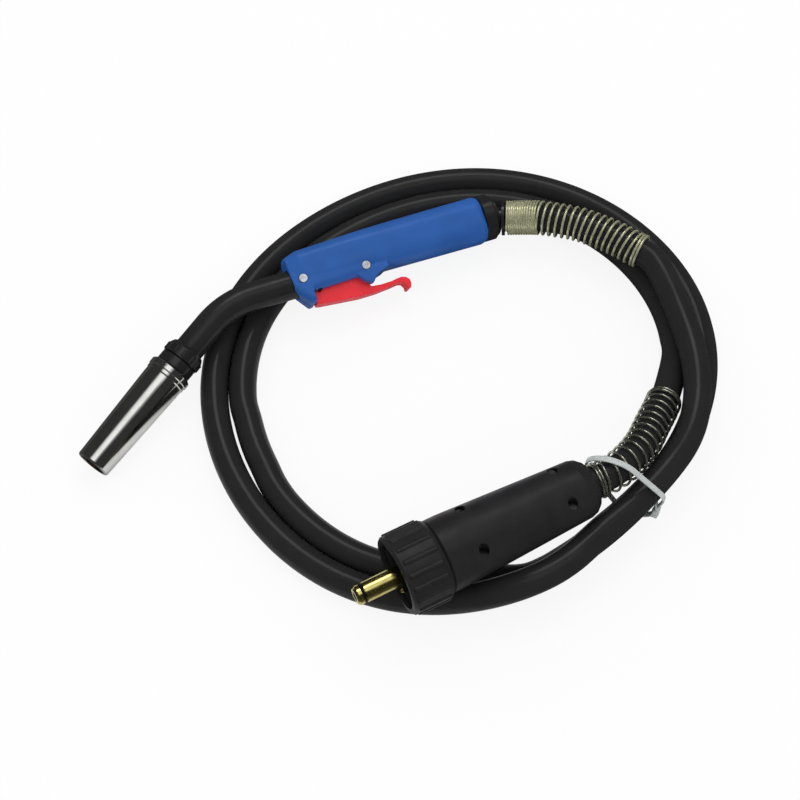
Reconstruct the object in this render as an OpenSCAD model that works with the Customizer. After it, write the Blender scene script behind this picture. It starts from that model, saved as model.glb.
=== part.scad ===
// Welding torch for wire feed (MIG) with its cable laid in a coil.
// Millimetres. The table is z = 0 and +X runs along the machine plug, away from its pin.

/* [Handle] */
// Length that the handle is laid out on; its two shells are 5.6 mm shorter
handle_l = 151; // [140:1:165]
// Depth of the grip at its rear end, across the trigger side
grip_w = 34; // [30:0.5:37]
// Thickness of the grip at its rear end
grip_t = 30; // [27:0.5:32]
// Depth of the front hood on the trigger side of the grip's axis
hood_drop = 23.5; // [21:0.5:26]
// Thickness of the hood at the nose
nose_t = 27; // [25:0.5:28]
// Wall of the handle shells
shell_wall = 2.6; // [2:0.1:3]
// Shank diameter of the shell screws
screw_d = 3; // [2.5:0.5:3.5]

/* [Trigger] */
// Width of the trigger lever
trigger_w = 12; // [10:0.5:13]
// Side gap between the trigger and its slot
trigger_gap = 0.4; // [0.3:0.1:0.8]
// Diameter of the trigger's pivot pin
trigger_pin_d = 3; // [2.5:0.5:4]
// Thickness of the finger lever
lever_t = 3; // [2.5:0.5:4]

/* [Neck] */
// Outer diameter of the black neck sleeve
neck_d = 20; // [18:0.5:22]
// Diameter of the metal tube in the neck
neck_tube_d = 14; // [12:0.5:15]
// Angle of the neck's bend
neck_bend = 33; // [20:1:45]
// Radius of the neck's bend, at its centre line
neck_bend_r = 65; // [50:1:80]
// Length of neck from the handle's nose to the corner of its bend
neck_reach = 42; // [38:1:60]

/* [Gas nozzle] */
// Length of the gas nozzle
nozzle_l = 82; // [76:1:90]
// Outer diameter of the gas nozzle at its rear
nozzle_rear_d = 28; // [26:0.5:30]
// Outer diameter of the gas nozzle at its mouth
nozzle_tip_d = 23.6; // [21:0.5:24]
// Bore of the mouth
nozzle_mouth_d = 18.6; // [16:0.2:19]
// Distance from the bend's corner to the nozzle's rear edge
nozzle_start = 60; // [58:1:70]
// Diameter of the contact tip
tip_d = 10; // [8:0.5:11]
// Wire hole in the contact tip
wire_hole_d = 1.2; // [0.8:0.1:1.6]

/* [Cable] */
// Outer diameter of the cable
cable_d = 19; // [17:0.5:19]
// Sideways distance between neighbouring loops of the coil
loop_step = 19.7; // [19.6:0.1:22]
// Wire diameter of the two spring guards
guard_wire_d = 1.6; // [1.2:0.1:1.8]
// Outer diameter of the spring guard behind the handle
front_guard_d = 24.6; // [24:0.2:26]
// Outer diameter of the spring guard behind the plug
rear_guard_d = 24.4; // [24:0.2:26]

/* [Machine plug] */
// Outer diameter of the locking nut
nut_d = 54; // [50:1:58]
// Length of the locking nut
nut_l = 28; // [24:1:32]
// Length of the plug's housing behind the nut
housing_l = 110; // [95:1:120]
// Housing diameter at the nut
housing_front_d = 48; // [46:1:50]
// Housing diameter at its rear end
housing_rear_d = 39; // [36:1:42]
// Wall of the plug's housing
housing_wall = 3; // [2:0.5:4]
// Diameter of the brass centre pin
pin_d = 13; // [11:0.5:14]
// Length of the centre pin ahead of the nut
pin_out = 28; // [22:1:34]
// Gas and wire bore of the centre pin
pin_bore_d = 6; // [4:0.5:7]
// Diameter of the two sprung contact pins
contact_d = 3.2; // [2.5:0.1:4]

/* [Hidden] */

$fn = 64;
fit = 0.05;          // radial play of a turned piece in its seat
slack = 0.3;         // clearance between soft or moulded pieces
cable_r = cable_d / 2;

// Where the pieces lie. The handle leans on the coil and the nozzle's mouth rests on the table.
handle_rear = [157, 16.1, 22.5];
handle_turn = [23.3, 4.2, -5];
plug_face = [-29.2, -210, 46];
ring_centre = [85.3, -80.3];
support_turn = [0, -5, -30.5];

// Handle layout: x = 0 at the rear end and -handle_l at the nose, trigger side along -y.
neck_drop = 7;                        // the neck lies this far to the trigger side
ball_x = 2;                           // centre of the swivel ball
ball_r = 12.2;
pivot = [-handle_l + 20.5, -16.6];    // trigger pin
collar_r = 16.4;
collar_x = -2.4;                      // rear end of the shells, where the collar begins
core_y = -2;                          // the cable core lies above the neck's line
shell_screw = [-handle_l + 56, -10.5];
clamp_screw = [-handle_l + 11, -7];    // its end bears on the neck
lug_x = -handle_l + 55;               // rear end of the hood's lower edge
switch_at = [-handle_l + 34.6, -21];

// Distances along the nozzle's axis, from the corner of the neck's bend.
bend_reach = neck_bend_r * tan(neck_bend / 2);
sleeve_end = 42;
seat_end = nozzle_start + 22;
nozzle_end = nozzle_start + nozzle_l;
tip_end = nozzle_end - 5;
tip_l = 32;
seat_r = 10.6;
mouth_l = 4.4;                        // length of the mouth's straight bore

// Coil. side 0 is the inner loop and side 1 the outer one.
foot = 0.8;                           // the cable's section is cut flat at this part of its radius
low_z = foot * cable_r;
high_z = 28.3;                        // the cable's first stretch lies on the outer loop
start_z = 31.5;
coil_start = 2.5;
coil_turn = 745;
coil_steps = 50;
tie_at = [126, -209.4];               // where the tie crosses the plug's cable
tie_heading = -48;                    // its slant; it lifts the loops a little
tie_lift = 1.8;

function smooth(a, b, x) = let (t = min(1, max(0, (x - a) / (b - a)))) t * t * (3 - 2 * t);
function ring_r(a) = 163.7 + 8.6 * cos(2 * (a - 14)) - 2.7 * cos(3 * (a + 67)) + 1.25 * cos(4 * (a + 34));
function side(u) =
  0.1 + 1.1 * smooth(2, 50, u) - 0.2 * smooth(101, 124, u) - smooth(444, 478, u);
function coil_z(u) = low_z + (high_z - low_z) * (1 - smooth(94, 124, u))
  + (start_z - high_z) * (1 - smooth(0, 20, u)) + tie_lift * (lift(u) + lift(u - 360));
// The inner loop stands a little further off beside the neck's side of the coil.
function parting(b) = 1.4 * (smooth(130, 165, b) - smooth(225, 245, b));
function lift(u) = smooth(48, 62, u) - smooth(94, 108, u);
function coil_point(u) =
  let (a = coil_start - u, r = ring_r(a) - (loop_step + parting((a + 1080) % 360)) * (1 - side(u)))
  [ring_centre.x + r * cos(a), ring_centre.y + r * sin(a), coil_z(u)];
function coil_dir(u) = unit(coil_point(u + 0.1) - coil_point(u - 0.1));

// Cable routes that are not coiled.
support_dir = [cos(5) * cos(30.5), -cos(5) * sin(30.5), sin(5)];
ball_at = handle_rear + [cos(5) * ball_x, -sin(5) * ball_x, -sin(4.2) * ball_x];
lead_route = [
  ball_at + 14.6 * support_dir, ball_at + 23 * support_dir, [190.6, -4.2, 27.2], [201.9, -15.1, 29.8],
  [212.9, -26.4, 31.2], [225.4, -43.6, 31.6], [234.8, -60.2, 31.5], coil_point(0) - 0.3 * coil_dir(0)
];
tail_route = [
  coil_point(coil_turn) + 0.3 * coil_dir(coil_turn), [206, -156.8, 13.4], [189.4, -172, 22],
  [172.2, -185, 30.2], [155.4, -197.8, 38.2], [138, -206.4, 44], [122.8, -209.8, 45.9],
  [plug_face.x + nut_l + housing_l - 1.7, plug_face.y, plug_face.z]
];

// ---------------------------------------------------------------- sweeps

// A smooth curve through route points: Catmull-Rom, n pieces to a span.
function span(p, i, t) =
  let (
    last = len(p) - 1,
    a = p[max(0, i - 1)],
    b = p[i],
    c = p[min(last, i + 1)],
    d = p[min(last, i + 2)]
  )
  0.5 * (2 * b + (c - a) * t + (2 * a - 5 * b + 4 * c - d) * t * t + (3 * b - a - 3 * c + d) * t * t * t);
function curve(p, n) = concat(
  [for (i = [0 : len(p) - 2], k = [0 : n - 1]) span(p, i, k / n)],
  [p[len(p) - 1]]
);
function unit(v) = v / norm(v);
function tangent(p, i) = unit(p[min(len(p) - 1, i + 1)] - p[max(0, i - 1)]);
// Section axes: one level, one upright, both square to the path.
function level(t) = unit([t.y, -t.x, 0]);
function ring_at(p, i, r, sides, floor_at, t) =
  let (w = level(t), h = cross(w, t))
  [for (k = [0 : sides - 1]) let (a = 360 * k / sides)
    p[i] - w * r * cos(a) + h * r * max(-floor_at, sin(a))];
// A tube along points p, square to first and last at its ends. floor_at under 1 cuts its underside flat.
module sweep(p, r, sides, floor_at = 1, first = undef, last = undef) {
  n = len(p);
  t0 = is_undef(first) ? tangent(p, 0) : first;
  t1 = is_undef(last) ? tangent(p, n - 1) : last;
  rings = [for (i = [0 : n - 1])
    each ring_at(p, i, r, sides, floor_at, i == 0 ? t0 : i == n - 1 ? t1 : tangent(p, i))];
  skin = [for (i = [0 : n - 2], k = [0 : sides - 1])
    let (a = i * sides + k, b = i * sides + (k + 1) % sides)
    each [[a, b, b + sides], [a, b + sides, a + sides]]];
  front = [for (k = [1 : sides - 2]) [0, k + 1, k]];
  back = [for (k = [1 : sides - 2]) let (m = (n - 1) * sides) [m, m + k, m + k + 1]];
  polyhedron(rings, concat(skin, front, back), convexity = 10);
}

// Length along a path up to point i, and the point at a length.
function lengths(p, i = 1, sum = [0]) =
  i == len(p) ? sum : lengths(p, i + 1, concat(sum, [sum[i - 1] + norm(p[i] - p[i - 1])]));
function at_length(p, cum, s, i = 0) =
  i >= len(p) - 2 || cum[i + 1] >= s
    ? let (t = (s - cum[i]) / (cum[i + 1] - cum[i])) [p[i] + (p[i + 1] - p[i]) * t, i]
    : at_length(p, cum, s, i + 1);
// Turns of a guard: share of its length at turn q, with close turns at both ends.
function guard_travel(q, near, open, far, close_pitch, open_pitch) =
  close_pitch * min(q, near) + open_pitch * min(max(q - near, 0), open)
  + 1.4 * close_pitch * max(q - near - open, 0);
// The two frames of a path, blended between its points so that the turns follow the bend evenly.
function frame_dir(p, i, t) = unit(tangent(p, i) * (1 - t) + tangent(p, min(i + 1, len(p) - 1)) * t);
function guard_points(p, start, r, near, open, far, close_pitch, open_pitch) =
  let (cum = lengths(p), turns = near + open + far)
  [for (k = [0 : turns * 8])
    let (
      q = k / 8,
      s = start + guard_travel(q, near, open, far, close_pitch, open_pitch),
      hit = at_length(p, cum, s),
      i = hit[1],
      t = (s - cum[i]) / (cum[i + 1] - cum[i]),
      d = frame_dir(p, i, t),
      w = level(d),
      h = cross(w, d)
    )
    hit[0] + r * (w * cos(360 * q) + h * sin(360 * q))];

// Least distance between points of a wound path more than one turn's half apart.
function least(p, skip) =
  min([for (i = [0 : len(p) - 1]) for (j = [i + skip : 1 : len(p) - 1]) norm(p[i] - p[j])]);

// ---------------------------------------------------------------- placing

module in_handle() { translate(handle_rear) rotate(handle_turn) children(); }
// z runs forward along the nozzle's axis from the corner of the neck's bend.
module in_nozzle() { in_handle() in_bend() children(); }
// z runs along the cable support, away from the handle.
module in_support() { translate(ball_at) rotate(support_turn) rotate([0, 90, 0]) children(); }
// z runs back along the plug's axis from the nut's front face.
module in_plug() { translate(plug_face) rotate([0, 90, 0]) children(); }

module ring(r_out, r_in, z0, z1) {
  translate([0, 0, z0])
    difference() {
      cylinder(r = r_out, h = z1 - z0);
      translate([0, 0, -1]) cylinder(r = r_in, h = z1 - z0 + 2);
    }
}

// ---------------------------------------------------------------- handle

// A rounded block section: depth from y0 to y1, thickness t, corner radius r.
module slab(x, y0, y1, t, r) {
  for (y = [y0 + r, y1 - r], z = [-t / 2 + r, t / 2 - r])
    translate([x, y, z]) rotate([0, 90, 0]) cylinder(r = r, h = 0.01, $fn = 32);
}
// Outer form of the handle, drawn in by e for its cavity.
module handle_form(e) {
  grip_h = grip_w / 2 - e;
  hull() {
    slab(e > 0 ? -8 : collar_x, -grip_h + 1, grip_h - 1.4, grip_t - 2 * e - 2, 12.4 - e);
    slab(e > 0 ? -10 : collar_x - 3, -grip_h, grip_h - 0.6, grip_t - 2 * e, 13 - e);
    slab(-70, -grip_h + 1, grip_h - 0.6, grip_t - 2 * e - 1, 12.6 - e);
    slab(lug_x, -grip_h + 1.7, grip_h - 1.4, nose_t - 2 * e + 1, 10 - e);
    slab(-handle_l + 12 + e, -grip_h + 3.1, grip_h - 3.3, nose_t - 2 * e, 8 - e);
    slab(-handle_l + 3.2 + e, -grip_h + 5.5, grip_h - 6, nose_t - 5 - 2 * e, 8 - e);
  }
  hood_form(e);
}
// The hood reaches past the grip to carry the trigger, with a lip in front of it.
module hood_form(e) {
  hull() {
    slab(lug_x - e, -16.2 + e, 4, nose_t - 2 * e, 5 - e);
    slab(-handle_l + 17 + e, -17.4 + e, 4, nose_t - 2 * e, 5 - e);
    slab(-handle_l + 4 + e, -12 + e, 4, nose_t - 4 - 2 * e, 6 - e);
  }
  hull() {
    slab(-handle_l + 15.8 + e, -hood_drop - 1.4 + e, 0, nose_t - 0.5 - 2 * e, 5 - e);
    slab(-handle_l + 12.6 + e, -hood_drop - 1.8 + e, 0, nose_t - 1 - 2 * e, 5 - e);
    slab(-handle_l + 3.6 + e, -14 + e, 4, nose_t - 4 - 2 * e, 6 - e);
  }
}
// Cheeks behind the hood, one to each side of the lever.
module lugs() {
  linear_extrude(nose_t - 1, center = true)
    translate([lug_x, 0])
      polygon([
        [-7, -12], [-7, -15.4], [-6.4, -16.4], [-3, -20.7], [1.2, -23.6], [2.6, -23.4], [4.5, -21],
        [6.7, -19], [10, -17.3], [14, -16.2], [16.4, -15.4], [16.4, -12]
      ]);
}
// Slot that the trigger swings in.
module trigger_slot() {
  w = trigger_w + 2 * trigger_gap;
  translate([0, 0, -w / 2])
    linear_extrude(w)
      polygon([
        [-handle_l + 15.3, -40], [-handle_l + 15.3, -21], [-handle_l + 16, -11.5],
        [lug_x - 1, -11], [lug_x + 0.5, -17.5], [lug_x + 14, -17.5], [lug_x + 14, -40]
      ]);
}
module handle_solid() {
  difference() {
    union() {
      handle_form(0);
      lugs();
    }
    difference() {
      intersection() {
        handle_form(shell_wall);
        translate([-handle_l + 12, -30, -30]) cube([handle_l - 22, 60, 60]);
      }
      translate([shell_screw.x, shell_screw.y, -20]) cylinder(r = screw_d / 2 + 2, h = 40);
      translate([pivot.x, pivot.y, -20]) cylinder(r = trigger_pin_d / 2 + 2.2, h = 40);
      for (s = [-1, 1]) translate([switch_at.x - 0.5, -30, s * 10 - 3.4]) cube([17, 16.7, 6.8]);
    }
    trigger_slot();
    translate([-handle_l - 1, -neck_drop, 0]) rotate([0, 90, 0]) cylinder(r = neck_d / 2 + fit, h = 15);
    translate([ball_x, 0, 0]) sphere(r = ball_r + slack);
    translate([-6.2, 0, 0]) rotate([0, 90, 0]) cylinder(r = 13, h = 13);
    translate([-20, 0, 0]) rotate([0, 90, 0]) cylinder(r = 9, h = 15);
    translate([pivot.x, pivot.y, -10]) cylinder(r = trigger_pin_d / 2 + fit, h = 20);
  }
}
module handle_left() {
  color("#2f62ad")
    in_handle()
      difference() {
        intersection() {
          handle_solid();
          translate([-200, -60, 0]) cube([260, 120, 60]);
        }
        for (p = [shell_screw, clamp_screw]) {
          translate([p.x, p.y, p == clamp_screw ? 8 : -1]) cylinder(r = screw_d / 2 + fit, h = 30);
          translate([p.x, p.y, nose_t / 2 - 2.4]) cylinder(r = screw_d / 2 + 1.5, h = 10);
        }
      }
}
module handle_right() {
  color("#2f62ad")
    in_handle()
      difference() {
        intersection() {
          handle_solid();
          translate([-200, -60, -60]) cube([260, 120, 60]);
        }
        translate([shell_screw.x, shell_screw.y, -9]) cylinder(r = screw_d / 2 + fit, h = 10);
      }
}
module handle_screws() {
  color("#c8ccd0")
    in_handle() {
      screw(shell_screw, nose_t / 2 + 6.6);
      screw(clamp_screw, nose_t / 2 - 2.3 - neck_d / 2);
    }
}
// A screw from the handle's left side, with a shank of length l.
module screw(p, l) {
  z1 = nose_t / 2 - 1.9;
  translate([p.x, p.y, 0])
    difference() {
      union() {
        translate([0, 0, z1 - l]) cylinder(r = screw_d / 2, h = l);
        translate([0, 0, nose_t / 2 - 2.4]) cylinder(r = screw_d / 2 + 1.35, h = 1.8);
      }
      for (a = [0, 90]) translate([0, 0, nose_t / 2]) rotate(a) cube([2.6, 0.6, 2], center = true);
    }
}
// Collar that keeps the ball in the handle's rear end.
module swivel_collar() {
  color("#1c1c1e")
    in_handle()
      rotate([0, 90, 0])
        difference() {
          rotate_extrude()
            polygon([
              [10, -6], [12.95, -6], [12.95, collar_x + 0.1], [collar_r - 0.4, collar_x + 0.1],
              [collar_r, collar_x + 0.5], [collar_r, 5.2], [collar_r - 1.2, 6.4], [14.4, 6.4],
              [14.4, 8], [13.9, 8.5], [13, 8.5], [11.4, 7.1], [10, 6]
            ]);
          translate([0, 0, ball_x]) sphere(r = ball_r + slack);
          translate([0, 0, 4]) cylinder(r = 11.4, h = 6);
        }
}
// Lever seen from the side: hooded part in front, finger stretch and curled end behind.
module trigger_side() {
  front = -handle_l + 16.2;
  t = lever_t;
  polygon([
    [front, -20.5], [front + 1.2, -18], [front + 1.6, -15.4], [front + 3, -14], [front + 5.8, -14],
    [front + 8, -15.4], [front + 32, -15.4], [lug_x - 1, -20],
    [lug_x + 1.5, -24.6], [lug_x + 8, -25.3], [lug_x + 16, -28.2 + t], [lug_x + 21, -27.4 + t],
    [lug_x + 24, -27.2 + t], [lug_x + 27, -28.2 + t], [lug_x + 29, -30.2 + t], [lug_x + 29.4, -33 + t],
    [lug_x + 28.4, -36 + t], [lug_x + 27, -36.8 + t], [lug_x + 25.6, -36 + t], [lug_x + 26, -31],
    [lug_x + 24.6, -28.2], [lug_x + 22, -27.4], [lug_x + 16, -28.2], [lug_x + 4, -29.2],
    [lug_x - 8, -29.2], [front + 1.5, -26.4], [front, -25.6]
  ]);
}
module trigger() {
  color("#ee3338")
    in_handle()
      difference() {
        translate([0, 0, -trigger_w / 2]) linear_extrude(trigger_w) trigger_side();
        translate([pivot.x + 6, -24.5, -4.2]) cube([24.5, 12, 8.4]);
        translate([pivot.x, pivot.y, -10]) cylinder(r = trigger_pin_d / 2 + fit, h = 20);
      }
}
module trigger_pin() {
  color("#b9bdc2")
    in_handle() translate([pivot.x, pivot.y, -9.8]) cylinder(r = trigger_pin_d / 2, h = 19.6);
}
// Switch that hangs inside the trigger, from a plate on the handle's ribs.
module switch_body() {
  color("#202022")
    in_handle()
      difference() {
        union() {
          translate([switch_at.x, switch_at.y, -3.5]) cube([16, 8, 7]);
          translate([switch_at.x, switch_at.y + 7.9, -8.4]) cube([16, 1.8, 16.8]);
        }
        translate([switch_at.x + 12, switch_at.y - 1, 0]) rotate([-90, 0, 0]) cylinder(r = 1.8, h = 6);
      }
}
module switch_plunger() {
  color("#e8e6dc")
    in_handle()
      translate([switch_at.x + 12, -24.2, 0]) rotate([-90, 0, 0]) cylinder(r = 1.75, h = 5.6);
}
// Two thin control wires from the switch back to the cable.
module switch_leads() {
  color("#7a2f2a")
    in_handle()
      for (z = [-6.3, 6.3])
        translate([switch_at.x + 6, -4.2, z]) {
          sphere(r = 1.1);
          rotate([90, 0, 0]) cylinder(r = 1.1, h = 6.8);
          rotate([0, 90, 0]) cylinder(r = 1.1, h = handle_l - 59);
        }
}

// ---------------------------------------------------------------- neck

// A pipe along the neck's course, from inside the handle to a distance past the bend.
module neck_pipe(r, bore, back, ahead) {
  half = neck_bend / 2;
  translate([-handle_l - neck_reach + bend_reach, -neck_drop - neck_bend_r, 0])
    rotate(half) {
      rotate(90 - half) rotate_extrude(angle = neck_bend) translate([neck_bend_r, 0]) annulus(r, bore);
      rotate(half)
        translate([0, neck_bend_r, 0])
          rotate([0, -90, 0]) linear_extrude(ahead - bend_reach) annulus(r, bore);
      rotate(-half)
        translate([0, neck_bend_r, 0])
          rotate([0, 90, 0]) linear_extrude(neck_reach - bend_reach + back) annulus(r, bore);
    }
}
module annulus(r, bore) {
  difference() {
    circle(r = r);
    circle(r = bore);
  }
}
// z runs forward from the bend's corner, inside the handle's layout.
module in_bend() {
  translate([-handle_l - neck_reach, -neck_drop, 0])
    rotate([0, 0, neck_bend])
      rotate([0, -90, 0])
        children();
}
module neck_sleeve() {
  color("#1d1d1f") in_handle() neck_pipe(neck_d / 2, neck_tube_d / 2 + fit, 13.5, sleeve_end);
}
module neck_tube() {
  color("#b58a3c") in_handle() neck_pipe(neck_tube_d / 2, 3.5, 18, sleeve_end + 14);
}
// Black nut behind the nozzle, with its grip ribs.
module neck_nut() {
  color("#1d1d1f")
    in_nozzle()
      difference() {
        union() {
          translate([0, 0, sleeve_end + 0.2]) cylinder(r1 = 11.6, r2 = 13, h = 2.5);
          translate([0, 0, sleeve_end + 2.7]) cylinder(r = 13, h = 7);
          for (k = [0 : 11])
            rotate(30 * k) translate([12.6, 0, sleeve_end + 3.4]) cylinder(r = 1.2, h = 5.4, $fn = 16);
        }
        translate([0, 0, sleeve_end - 1]) cylinder(r = neck_tube_d / 2 + fit, h = 14);
      }
}
// Brass block in the handle that joins the neck's tube to the cable, with its bores overlapping.
module power_block() {
  color("#b58a3c")
    in_handle()
      translate([-handle_l + 18.2, 0, 0])
        rotate([0, 90, 0])
          difference() {
            union() {
              translate([0, -neck_drop, 0]) cylinder(r = 6.5, h = 14);
              translate([0, core_y, 0]) cylinder(r = 6.5, h = 14);
              translate([-6.5, -neck_drop, 0]) cube([13, core_y + neck_drop, 14]);
            }
            translate([0, -neck_drop, -1]) cylinder(r = 3.5, h = 10);
            translate([0, core_y, 5]) cylinder(r = 3.5, h = 10);
          }
}
// Cable core inside the handle, from the block to the swivel.
module inner_cable() {
  color("#26282b")
    in_handle()
      translate([-handle_l + 32.4, core_y, 0])
        rotate([0, 0, 1])
          rotate([0, 90, 0]) cylinder(r = 4.8, h = handle_l - 42.2);
}

// ---------------------------------------------------------------- nozzle

module nozzle_insulator() {
  color("#242426")
    in_nozzle()
      rotate_extrude()
        polygon([
          [7.5, sleeve_end + 10], [12, sleeve_end + 10], [12.8, sleeve_end + 11],
          [12.8, nozzle_start - 1], [12.3, nozzle_start - 0.3],
          [seat_r - fit, nozzle_start - 0.3], [seat_r - fit, seat_end], [7.5, seat_end]
        ]);
}
module gas_diffuser() {
  color("#c9a24a")
    in_nozzle()
      difference() {
        union() {
          translate([0, 0, sleeve_end + 14.2]) cylinder(r = 7.45, h = seat_end - sleeve_end - 13.7);
          translate([0, 0, seat_end + 0.3]) cylinder(r = 8.6, h = 12);
        }
        translate([0, 0, sleeve_end + 13]) cylinder(r = 3.5, h = 60);
        translate([0, 0, seat_end + 6]) cylinder(r = 5 + fit, h = 10);
        for (k = [0 : 5])
          rotate(60 * k) translate([0, 0, seat_end + 3.5]) rotate([0, 90, 0]) cylinder(r = 1.1, h = 12, $fn = 24);
      }
}
module tip_holder() {
  z0 = seat_end + 12.5;
  z1 = tip_end - tip_l;
  color("#b58a3c")
    in_nozzle()
      difference() {
        union() {
          translate([0, 0, z0 - 6]) cylinder(r = 5, h = 7);
          translate([0, 0, z0]) cylinder(r = 6.4, h = z1 + 4 - z0);
          translate([0, 0, z1 + 3]) cylinder(r = 5.6, h = 7);
        }
        translate([0, 0, z0 - 7]) cylinder(r = 1.5, h = 60);
        translate([0, 0, z1]) cylinder(r = tip_d / 2 - 1 + fit, h = 20);
      }
}
module contact_tip() {
  color("#c77b4a")
    in_nozzle()
      difference() {
        union() {
          translate([0, 0, tip_end - tip_l + 0.2]) cylinder(r = tip_d / 2 - 1, h = 12);
          translate([0, 0, tip_end - tip_l + 10.1]) cylinder(r = tip_d / 2, h = tip_l - 15);
          translate([0, 0, tip_end - 5]) cylinder(r1 = tip_d / 2, r2 = tip_d / 2 - 2, h = 5);
        }
        translate([0, 0, tip_end - tip_l - 1]) cylinder(r = wire_hole_d / 2, h = tip_l + 2);
      }
}
module gas_nozzle() {
  rr = nozzle_rear_d / 2;
  tr = nozzle_tip_d / 2;
  mr = nozzle_mouth_d / 2;
  z0 = nozzle_start;
  z1 = nozzle_end;
  color("#c4c8cc")
    in_nozzle()
      rotate_extrude()
        polygon([
          [seat_r, z0], [rr + 0.3, z0], [rr + 1.1, z0 + 0.9], [rr + 1.1, z0 + 4.4], [rr + 0.5, z0 + 5], [rr + 0.5, z0 + 7.2], [rr, z0 + 8],
          [rr, z0 + 12], [tr, z1 - 1], [tr - 0.6, z1 - 0.2], [tr - 1, z1], [mr + 0.3, z1],
          [mr, z1 - 0.4], [mr, z1 - 0.4 - mouth_l], [mr + 0.4, z1 - 0.8 - mouth_l],
          [mr + 0.4, z1 - 12], [rr - 2.4, z1 - 26],
          [rr - 2.4, seat_end + 3], [seat_r, seat_end + 1]
        ]);
}

// ---------------------------------------------------------------- cable

// Ball, stem and tube that carry the cable and its spring guard.
module cable_support() {
  color("#1c1c1e")
    in_support()
      difference() {
        union() {
          sphere(r = ball_r);
          cylinder(r = 7.6, h = 13);
          translate([0, 0, 12.2]) cylinder(r = 12.4, h = 2);
        }
        translate([0, 0, -20]) cylinder(r = 6, h = 40);
        translate([0, 0, -30 - 8.5]) cube([60, 60, 60], center = true);
        translate([0, 0, -13]) cylinder(r1 = 11, r2 = 6, h = 9);
      }
}
module front_guard() {
  p = curve(lead_route, 6);
  w = guard_points(p, 0.8, front_guard_d / 2 - guard_wire_d / 2, 9, 17, 2, 2.7, 4.45);
  echo(front_guard_gap = least(w, 5) - guard_wire_d);
  color("#8d8a72") sweep(w, guard_wire_d / 2, 6);
}
module cable_lead() {
  color("#242426") sweep(curve(lead_route, 2), cable_r, 8, 1, support_dir, coil_dir(0));
}
module cable_coil() {
  p = [for (k = [0 : coil_steps]) coil_point(coil_turn * k / coil_steps)];
  echo(cable_coil_gap = least(p, 8) - cable_d);
  color("#242426") sweep(p, cable_r, 6, foot, coil_dir(0), coil_dir(coil_turn));
}
module cable_tail() {
  color("#242426") sweep(curve(tail_route, 2), cable_r, 8, foot, coil_dir(coil_turn), [-1, 0, 0]);
}
module rear_guard() {
  p = curve([for (i = [len(tail_route) - 1 : -1 : 1]) tail_route[i]], 6);
  w = guard_points(p, 5, rear_guard_d / 2 - guard_wire_d / 2, 1, 14, 2, 2.3, 6.8);
  echo(rear_guard_gap = least(w, 5) - guard_wire_d);
  color("#8d8a72") sweep(w, guard_wire_d / 2, 6);
}
// Tie round the two loops and the cable's end beside the plug.
module cable_tie() {
  band = 1.2;
  color("#bfc4c6")
    translate([tie_at.x, tie_at.y, 0])
      rotate(tie_heading)
        rotate([90, 0, 0])
          linear_extrude(4.6, center = true)
            difference() {
              tie_outline(0.4 + band);
              tie_outline(0.4);
            }
}
// Distance from tie_at, along the tie, to the loop drawn in by a step: four rounds settle it.
function tie_reach(step, t = 10, n = 4) =
  n == 0 ? t : let (p = tie_spot(t), r = norm(p)) tie_reach(step, t - (r - ring_r(atan2(p.y, p.x)) + step) / 0.85, n - 1);
function tie_spot(t) = [
  tie_at.x - ring_centre.x + t * cos(tie_heading), tie_at.y - ring_centre.y + t * sin(tie_heading)
];
function tie_turn(t) = let (p = tie_spot(t)) coil_start - atan2(p.y, p.x);
module tie_outline(e) {
  slant = 1.27;   // the tie crosses the cable askew
  hull() {
    translate([-1, plug_face.z - 0.3]) scale([slant, 1]) circle(r = rear_guard_d / 2 + 0.7 + e, $fn = 32);
    for (turn = [0, 360]) {
      t = tie_reach(loop_step * (1 - side(tie_turn(20) + turn)));
      z = coil_z(tie_turn(t) + turn) + cable_r * (1 - foot) * turn / 360;
      translate([t, z]) scale([slant, 1]) circle(r = cable_r + e, $fn = 24);
      if (turn > 0) translate([t - 7.2 - e / 2, tie_lift - e]) square([14.4 + e, 1]);
    }
  }
}

// ---------------------------------------------------------------- machine plug

module housing_profile(e) {
  fr = housing_front_d / 2 - e;
  rr = housing_rear_d / 2 - e;
  z0 = nut_l + 0.3;
  z1 = nut_l + housing_l;
  polygon([
    [0, z0 + e], [fr - 1.5, z0 + e], [fr, z0 + 1.5 + e], [fr, z0 + 10],
    [rr, z1 - 9], [rr - 1.2, z1 - 5 - e], [rr - 4, z1 - 1.6 - e], [rr - 6.5, z1 - e], [0, z1 - e]
  ]);
}
module housing_solid() {
  z0 = nut_l + 0.3;
  difference() {
    rotate_extrude() housing_profile(0);
    difference() {
      rotate_extrude() housing_profile(housing_wall);
      for (p = housing_spots) translate([-30, p.y, p.x]) rotate([0, 90, 0]) cylinder(r = 3.4, h = 60);
    }
    translate([0, 0, z0 - 1]) cylinder(r = neck_seat_r + fit, h = housing_wall + 2);
    translate([0, 0, nut_l + housing_l - housing_wall - 1]) cylinder(r = gland_r + fit, h = housing_wall + 2);
  }
}
neck_seat_r = 17;
gland_r = 11;
housing_spots = [[nut_l + 24, 15.4], [nut_l + 24, -15.4], [nut_l + 88, 12.6], [nut_l + 88, -12.6]];
module plug_housing_top() {
  color("#202022")
    in_plug()
      difference() {
        intersection() {
          housing_solid();
          translate([-80, -50, 0]) cube([80, 100, 200]);
        }
        for (p = housing_spots) {
          translate([-40, p.y, p.x]) rotate([0, 90, 0]) cylinder(r = 1.55, h = 45);
          translate([-40, p.y, p.x]) rotate([0, 90, 0]) cylinder(r = 3.2, h = 30);
        }
      }
}
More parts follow.
